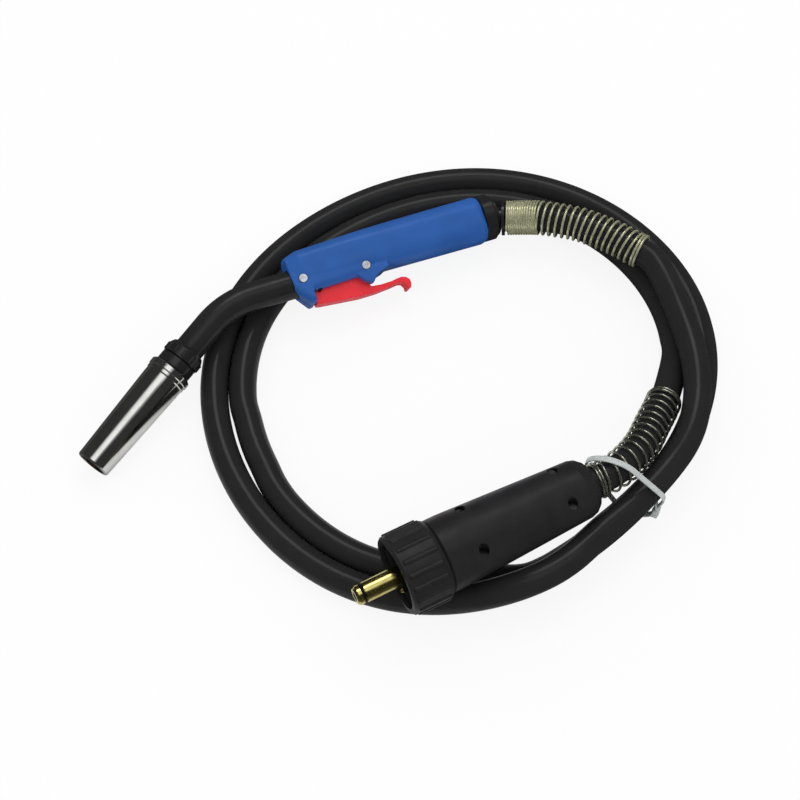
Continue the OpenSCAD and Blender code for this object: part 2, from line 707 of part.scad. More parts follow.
module plug_housing_bottom() {
  color("#202022")
    in_plug()
      difference() {
        intersection() {
          housing_solid();
          translate([0, -50, 0]) cube([80, 100, 200]);
        }
        for (p = housing_spots)
          translate([-1, p.y, p.x]) rotate([0, 90, 0]) cylinder(r = 1.55, h = 9);
      }
}
module housing_screws() {
  color("#9da1a6")
    in_plug()
      for (p = housing_spots)
        translate([-9.9, p.y, p.x])
          rotate([0, 90, 0])
            union() {
              translate([0, 0, -2]) cylinder(r = 2.9, h = 1.9);
              translate([0, 0, -0.2]) cylinder(r = 1.5, h = 17);
            }
}
// Ribbed nut that pulls the plug home on the machine's thread.
module lock_nut() {
  r = nut_d / 2;
  color("#1e1e20")
    in_plug()
      difference() {
        union() {
          rotate_extrude()
            polygon([
              [neck_seat_r + 0.3, nut_l - 4], [21.5, nut_l - 5], [21.5, 0], [r - 2.4, 0], [r - 1, 1.4],
              [r - 1, nut_l - 2.4], [r - 2.4, nut_l], [neck_seat_r + 0.3, nut_l]
            ]);
          for (k = [0 : 17])
            rotate(20 * k + 10) translate([r - 2, 0, 3]) cylinder(r = 2, h = nut_l - 6, $fn = 16);
        }
        for (k = [0 : 2]) translate([0, 0, 2.5 + 4 * k]) ring(22.1, 20, 0, 1.6);
      }
}
module plug_insulator() {
  color("#2a2a2c")
    in_plug()
      difference() {
        union() {
          translate([0, 0, nut_l - 20]) cylinder(r = 16.6, h = 20);
          translate([0, 0, nut_l - 0.4]) cylinder(r = neck_seat_r, h = housing_wall + 5);
          translate([0, 0, nut_l + housing_wall + 3.9]) cylinder(r = 19, h = 9);
          translate([-18.8, -3, nut_l - 20]) cube([4, 6, 13.5]);
        }
        translate([0, 0, 0]) cylinder(r = pin_d / 2 - 1.5 + fit, h = 80);
        for (s = [-1, 1])
          translate([contact_at.x, s * contact_at.y, 0]) {
            cylinder(r = contact_d / 2 + fit, h = 60);
            translate([0, 0, nut_l - 8]) cylinder(r = contact_d / 2 + 1, h = 60);
          }
      }
}
contact_at = [11.2, 5.4];   // below the axis and to each side
contact_travel = 3;
module centre_pin() {
  r = pin_d / 2;
  color("#c9a24a")
    in_plug()
      rotate_extrude()
        polygon([
          [pin_bore_d / 2, -pin_out], [r - 1.4, -pin_out], [r - 0.2, -pin_out + 1.6], [r - 0.2, -pin_out + 4],
          [r - 1.5, -pin_out + 4], [r - 1.5, -pin_out + 6.2], [r, -pin_out + 6.2], [r, -1],
          [r - 0.3, -1], [r - 0.3, nut_l - 20.2],
          [r - 1.5, nut_l - 20.2], [r - 1.5, nut_l + 40], [pin_bore_d / 2, nut_l + 40]
        ]);
}
module pin_seal() {
  color("#141414")
    in_plug()
      translate([0, 0, -pin_out + 5.1])
        rotate_extrude() translate([pin_d / 2 - 0.78, 0]) circle(r = 0.72);
}
module contact_pin(s) {
  color("#c9a24a")
    in_plug()
      translate([contact_at.x, s * contact_at.y, 0]) {
        translate([0, 0, 0.6]) cylinder(r1 = contact_d / 2 - 0.7, r2 = contact_d / 2, h = 1.4);
        translate([0, 0, 2]) cylinder(r = contact_d / 2, h = nut_l - 9);
        translate([0, 0, nut_l - 7.9]) cylinder(r = contact_d / 2 + 0.8, h = 1.6);
      }
}
module contact_pin_left() { contact_pin(-1); }
module contact_pin_right() { contact_pin(1); }
// Clamp that holds the cable in the housing's rear end and carries the spring guard.
module plug_gland() {
  z1 = nut_l + housing_l;
  color("#1c1c1e")
    in_plug()
      difference() {
        union() {
          translate([0, 0, z1 - 18]) cylinder(r = 14, h = 10.5);
          translate([0, 0, z1 - 8]) cylinder(r = gland_r, h = 10);
        }
        translate([0, 0, z1 - 22]) cylinder(r = 7, h = 30);
        translate([0, 0, z1 - 2]) cylinder(r = cable_r + 0.1, h = 30);
      }
}

handle_left();
handle_right();
handle_screws();
swivel_collar();
trigger();
trigger_pin();
switch_body();
switch_plunger();
switch_leads();
neck_sleeve();
neck_tube();
neck_nut();
power_block();
inner_cable();
nozzle_insulator();
gas_diffuser();
tip_holder();
contact_tip();
gas_nozzle();
cable_support();
front_guard();
cable_lead();
cable_coil();
cable_tail();
rear_guard();
plug_gland();
plug_housing_top();
plug_housing_bottom();
housing_screws();
lock_nut();
plug_insulator();
centre_pin();
pin_seal();
contact_pin_left();
contact_pin_right();
cable_tie();
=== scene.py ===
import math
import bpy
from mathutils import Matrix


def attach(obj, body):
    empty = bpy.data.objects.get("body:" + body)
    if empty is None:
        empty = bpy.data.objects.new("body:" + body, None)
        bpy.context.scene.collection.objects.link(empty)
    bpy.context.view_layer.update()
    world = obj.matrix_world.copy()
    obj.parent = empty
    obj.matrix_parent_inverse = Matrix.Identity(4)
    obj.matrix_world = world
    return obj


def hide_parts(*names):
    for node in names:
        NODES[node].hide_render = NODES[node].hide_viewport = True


bl_info = {
    "name": "Welding torch with coiled cable",
    "version": (1, 0, 0),
    "blender": (4, 5, 0),
    "location": "3D View > Sidebar > Torch",
    "description": "Finishes the wire-feed welding torch: cable, spring guards, shells, metal and stage",
    "category": "Object",
}

import bmesh
import bpy
from bpy.props import FloatProperty, FloatVectorProperty, IntProperty, PointerProperty
from mathutils import Euler, Matrix, Vector, geometry

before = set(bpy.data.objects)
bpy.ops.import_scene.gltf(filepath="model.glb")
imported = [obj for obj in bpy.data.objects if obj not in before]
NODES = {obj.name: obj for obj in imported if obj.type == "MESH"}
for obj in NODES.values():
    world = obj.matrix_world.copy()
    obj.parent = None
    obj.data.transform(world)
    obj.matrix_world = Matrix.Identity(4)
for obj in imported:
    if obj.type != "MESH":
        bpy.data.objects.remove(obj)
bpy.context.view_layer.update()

MM = 0.001

# Where the pieces lie, in millimetres and degrees, as in the part's source.
HANDLE_REAR = Vector((157.0, 16.1, 22.5))
HANDLE_TURN = Euler((math.radians(23.3), math.radians(4.2), math.radians(-5.0)), "XYZ")
HANDLE_L = 151.0
NECK_DROP = 7.0
NECK_BEND = 33.0
NECK_REACH = 42.0
PLUG_FACE = Vector((-29.2, -210.0, 46.0))
RING_CENTRE = Vector((85.3, -80.3, 0.0))
SUPPORT_DIR = Vector((0.85835, -0.505607, 0.087156))
BALL_AT = Vector((158.992, 15.926, 22.354))
TIE_AT = Vector((126.0, -209.4))
TIE_HEADING = -48.0

# The outer loop: its middle radius, and its waves as height, number round the ring and heading.
RING_RADIUS = 163.7
RING_WAVES = ((8.6, 2, -14), (-2.7, 3, 67), (1.25, 4, 34))

# The coil winds clockwise from this heading, for so many degrees.
COIL_START = 2.5
COIL_TURN = 745.0
COIL_STOPS = 150

# The cable's first stretch lies on the outer loop, starts a little higher, and comes down to the table.
STACK_RISE = 19.0
START_RISE = 3.0
TABLE_SINK = 0.1

# Where each change of the coil happens, in degrees turned.
START_DROP = (0, 20)
MOVE_OUT = (10, 58)
LEAN_OUT = (84, 100)
DESCENT = (104, 129)
MOVE_IN = (461, 485)
TIE_RISE = (48, 62)
TIE_FALL = (94, 108)

# The gap between the loops under the neck opens and closes at these headings.
GAP_OPENS = (161, 169)
GAP_CLOSES = (181, 191)

# The tie's strap, which lifts the cable over it. TIE_PLUG_END is a distance along the tie, a height and a
# radius. TIE_BLOCKS are the tie's head and the short end of its strap: size, place, lean and rounding.
TIE_LIFT = 1.8
TIE_SLANT = 1.27
TIE_PLUG_END = (-1.0, PLUG_FACE.z - 0.3, 12.7)
STRAP_WIDTH = 3.8
STRAP_THICKNESS = 1.2
STRAP_GAP = 0.4
STRAP_LOW = 1.5
STRAP_ROUNDING = 0.3
TIE_BLOCKS = (
    ((4.6, 7.4, 6.6), (2.4, 1.0), -6, 0.8),
    ((1.2, 8.0, 3.7), (2.2, 8.0), 12, 0.25),
)

# The spring guards: where they begin along their routes, and their turns and pitches, group by group.
FRONT_FROM = 0.6
FRONT_GROUPS = [(13, 1.8), (15.6, 4.7), (2, 2.1)]
REAR_FROM = 4.6
REAR_GROUPS = [(2, 1.9), (13, 6.9), (1.5, 2.4)]

# The handle's own frame, and the neck's bend and the nozzle's direction that follow from it.
HANDLE_FRAME = Matrix.Translation(HANDLE_REAR) @ HANDLE_TURN.to_matrix().to_4x4()
BEND_CORNER = HANDLE_FRAME @ Vector((-HANDLE_L - NECK_REACH, -NECK_DROP, 0.0))
NECK_TURN = Matrix.Rotation(math.radians(NECK_BEND), 3, "Z")
NOZZLE_DIR = (HANDLE_FRAME.to_3x3() @ (NECK_TURN @ Vector((-1, 0, 0)))).normalized()

CAMERA_AT = Vector((-211.3, -565.1, 952.6))
CAMERA_AIM = Vector((42.7, -77.2, 0.0))
LAMP_AT = Vector((300.0, 250.0, 1250.0))
LAMP_AIM = Vector((50.0, -80.0, 0.0))
LAMP_SIZE = 600.0

# Softboxes that bright surfaces mirror: direction, full inside this angle, gone at this one, strength.
SOFTBOXES = [
    ((0.09, -0.10, 0.99), 4, 26, 1.05),
    ((0.231, 0.4435, 0.866), 7, 14, 4.0),
]
STUDIO_DARK = 0.035

# The table glows a little for the camera. Mirrors see it white only round this point, out to a fading edge;
# further off it is painted dark for them, a painted reflection.
MIRRORED_TABLE = Vector((-20.0, -120.0, 0.0))
MIRRORED_REACH = (130.0, 190.0)
PAINTED_REFLECTION_SHADE = 0.94
TABLE_AT = (50, -80, -0.1)
TABLE_HALF = 4000
TABLE_GLOW = 0.86
GLOW_STRENGTH = 1.02
WHITE = (1, 1, 1, 1)

# Grid that the trigger is moulded on, finer than that of the shells.
LEVER_SKIN = 0.32


# ---------------------------------------------------------------- routes


def ease(low, high, x):
    """A smooth step from 0 at low to 1 at high."""
    t = min(1.0, max(0.0, (x - low) / (high - low)))
    return t * t * (3 - 2 * t)


def ring_radius(angle):
    """Radius of the outer loop, in millimetres, at an angle in degrees."""
    waves = (height * math.cos(math.radians(n * (angle + turn))) for height, n, turn in RING_WAVES)
    return sum(waves, RING_RADIUS)


def share_out(turn):
    """How far out the cable lies after a turn: 0 on the inner loop, 1 on the outer one.

    The first stretch moves out over the outer loop, leans past it and comes down beside it. A loop later the
    cable passes inside that place.
    """
    over = 1.1 * ease(*MOVE_OUT, turn) + 0.25 * ease(*LEAN_OUT, turn) - 0.45 * ease(*DESCENT, turn)
    return 0.1 + over - ease(*MOVE_IN, turn)


def resting_height(settings):
    """Height of the cable's centreline where it lies on the table, low enough to pass under the lock nut."""
    return settings.diameter / MM / 2 - TABLE_SINK


def coil_point(turn, settings):
    """Point of the coil's centreline after a turn in degrees."""
    angle = COIL_START - turn
    heading = angle % 360
    opening = settings.opening / MM * (ease(*GAP_OPENS, heading) - ease(*GAP_CLOSES, heading))
    radius = ring_radius(angle) - (settings.loop_step / MM + opening) * (1 - share_out(turn))
    height = resting_height(settings) + STACK_RISE * (1 - ease(*DESCENT, turn))
    height += START_RISE * (1 - ease(*START_DROP, turn))
    height += TIE_LIFT * sum(ease(*TIE_RISE, t) - ease(*TIE_FALL, t) for t in (turn, turn - 360))
    a = math.radians(angle)
    return Vector((RING_CENTRE.x + radius * math.cos(a), RING_CENTRE.y + radius * math.sin(a), height))


def eased_curve(points, pieces):
    """A smooth line through points, with so many pieces to each span."""
    out = []
    last = len(points) - 1
    for i in range(last):
        a, b, c, d = (points[max(0, min(last, i + k))] for k in (-1, 0, 1, 2))
        for k in range(pieces):
            t = k / pieces
            bend = 2 * a - 5 * b + 4 * c - d
            twist = 3 * b - a - 3 * c + d
            out.append(0.5 * (2 * b + (c - a) * t + bend * t * t + twist * t ** 3))
    out.append(points[last].copy())
    return out


def lead_route():
    """The cable's way from the swivel to the coil."""
    return [
        BALL_AT + 14.6 * SUPPORT_DIR,
        BALL_AT + 23 * SUPPORT_DIR,
        Vector((190.6, -4.2, 27.2)),
        Vector((201.9, -15.1, 29.8)),
        Vector((212.9, -26.4, 31.2)),
        Vector((225.4, -43.6, 31.6)),
        Vector((234.8, -60.2, 31.5)),
    ]


def tail_route():
    """The cable's way from the coil to the plug."""
    return [
        Vector((206.0, -156.8, 14.4)),
        Vector((189.4, -172.0, 22.0)),
        Vector((172.2, -185.0, 30.2)),
        Vector((155.4, -197.8, 38.2)),
        Vector((138.0, -206.4, 44.0)),
        Vector((122.8, -209.8, 45.9)),
        Vector((107.1, -210.0, 46.0)),
    ]


def cable_line(settings):
    """Whole centreline of the cable, from the handle's swivel to the plug's gland."""
    turns = [COIL_TURN * k / (COIL_STOPS - 1) for k in range(COIL_STOPS)]
    stops = lead_route() + [coil_point(t, settings) for t in turns] + tail_route()
    line = eased_curve(stops, 4)
    for point in line:
        point.z = max(point.z, resting_height(settings))
    return line


def tie_spot(t):
    """The place at a distance along the tie, seen from above, from the ring's centre."""
    heading = math.radians(TIE_HEADING)
    x = TIE_AT.x - RING_CENTRE.x + t * math.cos(heading)
    y = TIE_AT.y - RING_CENTRE.y + t * math.sin(heading)
    return Vector((x, y))


def tie_turn(t):
    """The coil's turn at which it passes a distance along the tie."""
    spot = tie_spot(t)
    return COIL_START - math.degrees(math.atan2(spot.y, spot.x))


def tie_spots(settings):
    """Where the tie passes the first stretch and the outer loop: distance along it, height and radius.

    Each distance starts as a guess, and six steps bring it to the cable's centreline.
    """
    near = 20.0
    guess = 10.0
    slope = 0.85
    out = []
    for turn in (0, 360):
        step = settings.loop_step / MM * (1 - share_out(tie_turn(near) + turn))
        t = guess
        for _ in range(6):
            spot = tie_spot(t)
            t -= (spot.length - ring_radius(math.degrees(math.atan2(spot.y, spot.x))) + step) / slope
        out.append((t, coil_point(tie_turn(t) + turn, settings).z, settings.diameter / MM / 2))
    return out


class Walk:
    """Places and upright frames at any length along a line."""

    def __init__(self, points):
        self.points = points
        self.sums = [0.0]
        for a, b in zip(points, points[1:]):
            self.sums.append(self.sums[-1] + (b - a).length)

    def direction(self, i):
        return (self.points[min(len(self.points) - 1, i + 1)] - self.points[max(0, i - 1)]).normalized()

    def at(self, length):
        i = 0
        while i < len(self.points) - 2 and self.sums[i + 1] < length:
            i += 1
        t = (length - self.sums[i]) / (self.sums[i + 1] - self.sums[i])
        place = self.points[i].lerp(self.points[i + 1], t)
        ahead = self.direction(i).lerp(self.direction(i + 1), t).normalized()
        level = Vector((ahead.y, -ahead.x, 0.0)).normalized()
        return place, level, level.cross(ahead)


def wound_line(route, start, radius, groups, steps=30):
    """A spring's centreline: groups are (turns, pitch) pairs, wound round a route."""
    walk = Walk(route)
    total = sum(turns for turns, pitch in groups)
    out = []
    for k in range(int(total * steps) + 1):
        turn = k / steps
        left, length = turn, start
        for turns, pitch in groups:
            length += min(left, turns) * pitch
            left = max(0.0, left - turns)
        place, level, up = walk.at(length)
        a = 2 * math.pi * turn
        out.append(place + radius * (level * math.cos(a) + up * math.sin(a)))
    return out


# ---------------------------------------------------------------- making pieces


def add_object(name, data):
    obj = bpy.data.objects.new(name, data)
    bpy.context.scene.collection.objects.link(obj)
    return obj


def mesh_from(name, bm, place=None, smooth_angle=None):
    """A finished piece from a bmesh in millimetres, moved to its place in the row's frame."""
    if place is not None:
        bmesh.ops.transform(bm, matrix=place, verts=bm.verts)
    bmesh.ops.scale(bm, vec=(MM, MM, MM), verts=bm.verts)
    mesh = bpy.data.meshes.new(name)
    bm.to_mesh(mesh)
    bm.free()
    obj = add_object(name, mesh)
    if smooth_angle is not None:
        mesh.shade_smooth()
        mesh.set_sharp_from_angle(angle=math.radians(smooth_angle))
    return obj


def wire_piece(name, points, diameter, sides=3):
    """A round wire or cable along points in millimetres, as a curve with closed ends."""
    curve = bpy.data.curves.new(name, "CURVE")
    curve.dimensions = "3D"
    curve.twist_mode = "MINIMUM"
    curve.bevel_depth = diameter / 2
    curve.bevel_resolution = sides
    curve.use_fill_caps = True
    spline = curve.splines.new("POLY")
    spline.points.add(len(points) - 1)
    for target, point in zip(spline.points, points):
        target.co = (point.x * MM, point.y * MM, point.z * MM, 1.0)
    spline.use_smooth = True
    return add_object(name, curve)


def moulded_copy(name, node, voxel, passes):
    """A moulded shell from a CAD node: one skin with soft edges, in the same place."""
    source = NODES[node]
    mesh = bpy.data.meshes.new(name)
    bm = bmesh.new()
    bm.from_mesh(source.data)
    bmesh.ops.remove_doubles(bm, verts=bm.verts, dist=1e-6)
    bm.to_mesh(mesh)
    bm.free()
    obj = add_object(name, mesh)
    skin = obj.modifiers.new("one_skin", "REMESH")
    skin.mode = "VOXEL"
    skin.voxel_size = voxel * MM
    skin.use_smooth_shade = True
    ironed = obj.modifiers.new("soft_edges", "SMOOTH")
    ironed.factor = 0.5
    ironed.iterations = passes
    depsgraph = bpy.context.evaluated_depsgraph_get()
    result = bpy.data.meshes.new_from_object(obj.evaluated_get(depsgraph))
    obj.modifiers.clear()
    obj.data = result
    result.name = name
    result.shade_smooth()
    bpy.data.meshes.remove(mesh)
    return obj


# ---------------------------------------------------------------- finishes


class Graph:
    """Builds a node tree step by step."""

    def __init__(self, tree):
        self.tree = tree

    def add(self, kind, values=(), **settings):
        """A node with its settings, and with values for its inputs by name or number."""
        node = self.tree.nodes.new(kind)
        for key, value in settings.items():
            setattr(node, key, value)
        for key, value in dict(values).items():
            node.inputs[key].default_value = value
        return node

    def link(self, out, into):
        self.tree.links.new(out, into)

    def mix(self, share, first, second):
        """Blends from one shader to another."""
        node = self.add("ShaderNodeMixShader")
        for into, out in zip(node.inputs, (share, first.outputs[0], second.outputs[0])):
            self.link(out, into)
        return node


class Finish(Graph):
    """Builds one node material step by step."""

    def __init__(self, name, colour, roughness, metallic=0.0, specular=0.5):
        self.material = bpy.data.materials.new(name)
        self.material.use_nodes = True
        super().__init__(self.material.node_tree)
        self.shader = self.tree.nodes["Principled BSDF"]
        self.colour = tuple(colour[:3])
        self.shader.inputs["Base Color"].default_value = (*self.colour, 1.0)
        self.shader.inputs["Roughness"].default_value = roughness
        self.shader.inputs["Metallic"].default_value = metallic
        self.shader.inputs["Specular IOR Level"].default_value = specular
        self.coordinates = self.add("ShaderNodeTexCoord")
        self.normal = None

    def place(self, stretch=(1, 1, 1)):
        """Coordinates that stay with the piece, in metres."""
        mapping = self.add("ShaderNodeMapping", {"Scale": stretch})
        self.link(self.coordinates.outputs["Object"], mapping.inputs["Vector"])
        return mapping.outputs["Vector"]

    def noise(self, scale, detail=3.0, roughness=0.55, stretch=(1, 1, 1)):
        node = self.add("ShaderNodeTexNoise", {"Scale": scale, "Detail": detail, "Roughness": roughness})
        self.link(self.place(stretch), node.inputs["Vector"])
        return node.outputs["Fac"]

    def along(self, origin, direction, scale, detail=4.0):
        """Fine lines square to an axis, as a lathe leaves them."""
        moved = self.add("ShaderNodeVectorMath", {1: tuple(origin)}, operation="SUBTRACT")
        self.link(self.coordinates.outputs["Object"], moved.inputs[0])
        dot = self.add("ShaderNodeVectorMath", {1: tuple(direction)}, operation="DOT_PRODUCT")
        self.link(moved.outputs["Vector"], dot.inputs[0])
        lines = self.add("ShaderNodeTexNoise", {"Scale": scale, "Detail": detail}, noise_dimensions="1D")
        self.link(dot.outputs["Value"], lines.inputs["W"])
        return lines.outputs["Fac"]

    def ramp(self, pattern, reach, low=0.0, high=1.0):
        """Brings a pattern's reach to the range from low to high."""
        values = {"From Min": reach[0], "From Max": reach[1], "To Min": low, "To Max": high}
        node = self.add("ShaderNodeMapRange", values)
        self.link(pattern, node.inputs["Value"])
        return node.outputs["Result"]

    def tint(self, pattern, low, high, reach=(0.35, 0.65)):
        """Varies the colour between two shares of itself."""
        mix = self.add("ShaderNodeMix", data_type="RGBA")
        factor, darker, lighter = mix.inputs["Factor"], mix.inputs[6], mix.inputs[7]
        self.link(self.ramp(pattern, reach), factor)
        darker.default_value = (*(c * low for c in self.colour), 1.0)
        lighter.default_value = (*(min(1.0, c * high) for c in self.colour), 1.0)
        self.link(mix.outputs[2], self.shader.inputs["Base Color"])

    def polish(self, pattern, low, high, reach=(0.3, 0.7)):
        """Varies the roughness between two values."""
        self.link(self.ramp(pattern, reach, low, high), self.shader.inputs["Roughness"])

    def soft_edge(self, radius):
        """Catches light along sharp edges as a small radius does."""
        bevel = self.add("ShaderNodeBevel", {"Radius": radius * MM}, samples=4)
        self.normal = bevel.outputs["Normal"]
        self.link(self.normal, self.shader.inputs["Normal"])

    def relief(self, pattern, depth, strength=1.0):
        """Raises the surface by a pattern, to a depth in millimetres."""
        bump = self.add("ShaderNodeBump", {"Distance": depth * MM, "Strength": strength})
        self.link(pattern, bump.inputs["Height"])
        if self.normal is not None:
            self.link(self.normal, bump.inputs["Normal"])
        self.normal = bump.outputs["Normal"]
        self.link(self.normal, self.shader.inputs["Normal"])


def jacket_finish(settings):
    f = Finish("cable_jacket", settings.jacket, 0.2, specular=0.12)
    f.tint(f.noise(60, 4.0), 0.94, 1.06)
    f.polish(f.noise(35, 5.0), 0.18, 0.25)
    f.relief(f.noise(90, 2.0), 0.12, 0.25)
    f.relief(f.noise(2200, 2.0), 0.008, 0.35)
    return f.material


def shell_finish(settings):
    f = Finish("blue_shell", settings.shell, 0.36, specular=0.3)
    f.tint(f.noise(45, 3.0), 0.93, 1.07)
    f.polish(f.noise(160, 4.0), 0.30, 0.42)
    f.relief(f.noise(1500, 3.0, 0.6), 0.02, 0.45)
    return f.material


def lever_finish(settings):
    f = Finish("red_lever", settings.lever, 0.26, specular=0.35)
    f.tint(f.noise(70, 3.0), 0.95, 1.05)
    f.polish(f.noise(180, 3.0), 0.22, 0.32)
    f.relief(f.noise(1300, 2.0), 0.012, 0.35)
    return f.material


def black_finish(name, base, rough, grain, edge=0.35, gloss=0.2):
    f = Finish(name, (base, base, base * 1.02), rough, specular=gloss)
    f.tint(f.noise(80, 3.0), 0.9, 1.1)
    f.polish(f.noise(140, 4.0), rough - 0.05, rough + 0.08)
    f.soft_edge(edge)
    f.relief(f.noise(1100, 3.0), grain, 0.5)
    return f.material


def sleeve_finish():
    f = Finish("neck_sleeve_black", (0.0225, 0.0225, 0.0228), 0.18, specular=0.16)
    f.tint(f.noise(70, 3.0), 0.92, 1.08)
    f.polish(f.noise(50, 4.0), 0.17, 0.30)
    f.relief(f.noise(120, 3.0), 0.10, 0.35)
    return f.material


def chrome_finish(origin, direction):
    f = Finish("bright_nozzle", (0.76, 0.76, 0.73), 0.09, metallic=1.0)
    lines = f.along(origin, direction, 4200, 2.0)
    f.tint(f.noise(90, 4.0), 0.93, 1.04)
    f.polish(f.noise(60, 5.0), 0.06, 0.15)
    f.soft_edge(0.25)
    f.relief(lines, 0.006, 0.25)
    return f.material


def brass_finish(name, colour, origin, direction):
    f = Finish(name, colour, 0.2, metallic=1.0)
    f.tint(f.noise(300, 4.0), 0.88, 1.06)
    f.polish(f.noise(120, 4.0), 0.13, 0.27)
    f.soft_edge(0.2)
    f.relief(f.along(origin, direction, 2600, 3.0), 0.02, 0.35)
    return f.material


def steel_finish(name, colour, rough, metallic=1.0):
    f = Finish(name, colour, rough, metallic=metallic)
    f.tint(f.noise(400, 4.0), 0.85, 1.08)
    f.polish(f.noise(250, 4.0), rough - 0.07, rough + 0.1)
    f.relief(f.noise(3000, 2.0), 0.006, 0.4)
    return f.material


def tie_finish():
    f = Finish("pale_nylon", (0.60, 0.64, 0.63), 0.38, specular=0.5)
    f.shader.inputs["Subsurface Weight"].default_value = 0.25
    f.shader.inputs["Subsurface Radius"].default_value = (0.002, 0.002, 0.002)
    f.tint(f.noise(300, 3.0), 0.92, 1.05)
    f.polish(f.noise(200, 3.0), 0.32, 0.46)
    f.relief(f.noise(1200, 2.0), 0.01, 0.4)
    return f.material


def moulded_finish(name, colour, rough):
    f = Finish(name, colour, rough, specular=0.45)
    f.tint(f.noise(200, 3.0), 0.92, 1.06)
    f.polish(f.noise(300, 3.0), rough - 0.05, rough + 0.07)
    f.relief(f.noise(1500, 2.0), 0.01, 0.4)
    return f.material


def dress(obj, material):
    """Gives a piece or a CAD node its finish."""
    if obj.material_slots:
        for place in obj.material_slots:
            place.material = material
    else:
        obj.data.materials.append(material)


# ---------------------------------------------------------------- settings


class TORCH_PG_cable(bpy.types.PropertyGroup):
    diameter: FloatProperty(
        name="Diameter", description="Outer diameter of the cable",
        default=0.019, min=0.015, max=0.02, unit="LENGTH",
    )
    loop_step: FloatProperty(
        name="Loop step", description="Sideways distance between loops of the coil",
        default=0.01905, min=0.019, max=0.022, unit="LENGTH",
    )
    opening: FloatProperty(
        name="Opening", description="Gap between the loops on the neck's side",
        default=0.0016, min=0.0, max=0.003, unit="LENGTH",
    )
    jacket: FloatVectorProperty(
        name="Jacket", description="Colour of the cable's jacket", subtype="COLOR",
        default=(0.0235, 0.0235, 0.0237), min=0.0, max=1.0,
    )


class TORCH_PG_springs(bpy.types.PropertyGroup):
    wire: FloatProperty(
        name="Wire", description="Wire diameter of the spring guards",
        default=0.00175, min=0.001, max=0.002, unit="LENGTH",
    )
    front: FloatProperty(
        name="Front guard", description="Outer diameter of the guard behind the handle",
        default=0.0246, min=0.024, max=0.026, unit="LENGTH",
    )
    rear: FloatProperty(
        name="Rear guard", description="Outer diameter of the guard behind the plug",
        default=0.0244, min=0.024, max=0.026, unit="LENGTH",
    )


class TORCH_PG_handle(bpy.types.PropertyGroup):
    shell: FloatVectorProperty(
        name="Shells", description="Colour of the handle's shells", subtype="COLOR",
        default=(0.021, 0.116, 0.43), min=0.0, max=1.0,
    )
    lever: FloatVectorProperty(
        name="Trigger", description="Colour of the trigger", subtype="COLOR",
        default=(0.98, 0.029, 0.046), min=0.0, max=1.0,
    )
    skin: FloatProperty(
        name="Skin step", description="Grid that the moulded shells are drawn on",
        default=0.0006, min=0.0004, max=0.002, unit="LENGTH",
    )


class TORCH_PG_stage(bpy.types.PropertyGroup):
    fill: FloatProperty(name="Fill", description="Even light from all round", default=0.82, min=0.0, max=2.0)
    lamp: FloatProperty(
        name="Lamp", description="Power of the overhead lamp",
        default=1.6, min=0.0, max=50.0, unit="POWER",
    )
    lens: FloatProperty(
        name="Lens", description="Focal length of the camera, in millimetres",
        default=72.8, min=20.0, max=200.0,
    )
    sides: IntProperty(name="Wire sides", description="Fineness of the round wires", default=3, min=1, max=8)


# ---------------------------------------------------------------- operators


class TORCH_OT_cable(bpy.types.Operator):
    """Lays the cable from the handle to the plug as one smooth run"""

    bl_idname = "torch.lay_cable"
    bl_label = "Lay cable"

    def execute(self, context):
        settings = context.scene.torch_cable
        line = cable_line(settings)
        run = wire_piece("cable_run", line, settings.diameter, sides=10)
        dress(run, jacket_finish(settings))
        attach(run, "cable_set")
        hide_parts("cable_lead", "cable_coil", "cable_tail")
        return {"FINISHED"}


class TORCH_OT_springs(bpy.types.Operator):
    """Winds the two spring guards round the cable"""

    bl_idname = "torch.wind_springs"
    bl_label = "Wind spring guards"

    def execute(self, context):
        springs = context.scene.torch_springs
        cable = context.scene.torch_cable
        sides = context.scene.torch_stage.sides
        wire = springs.wire / MM
        # Painted light and shade, partly the guards' own difference: the same kind of steel is painted paler
        # for the front guard and darker for the rear one.
        light = steel_finish("front_wire_painted_light", (0.88, 0.88, 0.60), 0.25, metallic=0.68)
        dark = steel_finish("rear_wire_painted_shade", (0.62, 0.64, 0.52), 0.20, metallic=0.94)
        coil_begin = [coil_point(t, cable) for t in (0, 10, 20)]
        front_route = eased_curve(lead_route() + coil_begin, 8)
        front = wire_piece(
            "front_spring",
            wound_line(front_route, FRONT_FROM, springs.front / MM / 2 - wire / 2, FRONT_GROUPS),
            springs.wire,
            sides,
        )
        coil_end = [coil_point(t, cable) for t in (COIL_TURN, COIL_TURN - 10)]
        rear_route = eased_curve(list(reversed(tail_route())) + coil_end, 8)
        rear = wire_piece(
            "rear_spring",
            wound_line(rear_route, REAR_FROM, springs.rear / MM / 2 - wire / 2, REAR_GROUPS),
            springs.wire,
            sides,
        )
        for spring, node, steel in ((front, "front_guard", light), (rear, "rear_guard", dark)):
            dress(spring, steel)
            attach(spring, "cable_set")
            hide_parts(node)
        return {"FINISHED"}


class TORCH_OT_handle(bpy.types.Operator):
    """Moulds the two blue shells with soft edges"""

    bl_idname = "torch.mould_handle"
    bl_label = "Mould handle"

    def execute(self, context):
        settings = context.scene.torch_handle
        blue = shell_finish(settings)
        for side in ("left", "right"):
            shell = moulded_copy(f"shell_{side}", f"handle_{side}", settings.skin / MM, 5)
            dress(shell, blue)
            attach(shell, "handpiece")
            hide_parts(f"handle_{side}")
        return {"FINISHED"}


class TORCH_OT_trigger(bpy.types.Operator):
    """Moulds the red trigger lever"""

    bl_idname = "torch.mould_trigger"
    bl_label = "Mould trigger"

    def execute(self, context):
        settings = context.scene.torch_handle
        lever = moulded_copy("trigger_lever", "trigger", LEVER_SKIN, 4)
        dress(lever, lever_finish(settings))
        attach(lever, "trigger")
        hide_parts("trigger")
        return {"FINISHED"}


